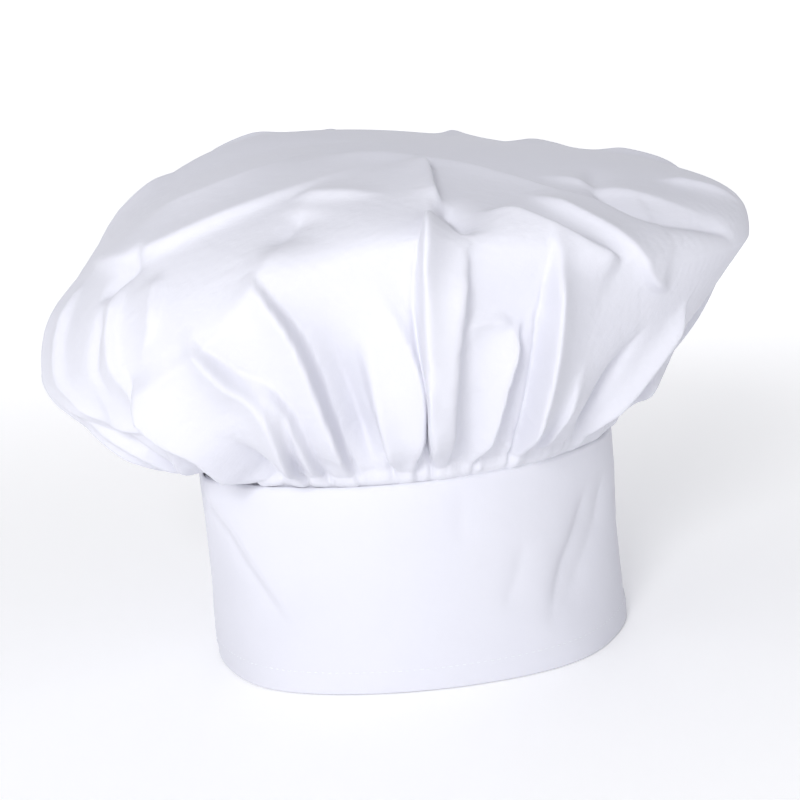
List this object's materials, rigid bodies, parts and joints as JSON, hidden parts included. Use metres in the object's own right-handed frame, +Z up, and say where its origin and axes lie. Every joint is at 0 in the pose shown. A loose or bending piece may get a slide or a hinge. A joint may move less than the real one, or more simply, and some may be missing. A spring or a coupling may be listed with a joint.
{
  "type": "chef toque",
  "caption": "White cotton chef's hat: a tall stiffened headband with a hook-and-loop back tab and a full pleated crown that flops over to the side.",
  "frame": {"origin": "centre of the head opening, in the plane of the rim", "axes": "+Z up along the headband's axis, front -Y, closure at the back +Y, +X to the right seen from the front"},
  "size_m": [0.3313, 0.2728, 0.2335],
  "materials": {
    "cotton_cloth": "white woven cotton, matte",
    "interfacing": "stiff non-woven, matte",
    "hook_and_loop_tape": "white nylon hooks and loops",
    "thread": "white polyester sewing thread",
    "label_tape": "blank woven satin tape",
    "binding_tape": "white cotton bias tape"
  },
  "bodies": {
    "headband": {"headband_outer": "cotton_cloth", "headband_interfacing": "interfacing", "headband_facing": "cotton_cloth", "vent_binding": "binding_tape", "vent_binding_stitching": "thread", "care_label": "label_tape", "care_label_stitching": "thread", "tab_lap": "cotton_cloth", "tab_lap_stitching": "thread", "loop_tape": "hook_and_loop_tape", "loop_tape_stitching": "thread", "hem_stitching": "thread", "crown_gather": "cotton_cloth"},
    "closure_tab": {"closure_tab": "cotton_cloth", "tab_interfacing": "interfacing", "hook_tape": "hook_and_loop_tape", "hook_tape_stitching": "thread"},
    "crown": {"crown_puff": "cotton_cloth"}
  },
  "joints": [
    {"name": "closure_peel", "type": "hinge", "parent": "headband", "child": "closure_tab", "pos_m": [-0.01522, 0.0961, 0.046], "axis": [0, 0, 1], "range_deg": [0, 110]},
    {"name": "crown_flop", "type": "hinge", "parent": "headband", "child": "crown", "pos_m": [0, 0, 0.092], "axis": [1, 0, 0], "range_deg": [-8, 8], "deforming": ["crown_gather"]}
  ]
}
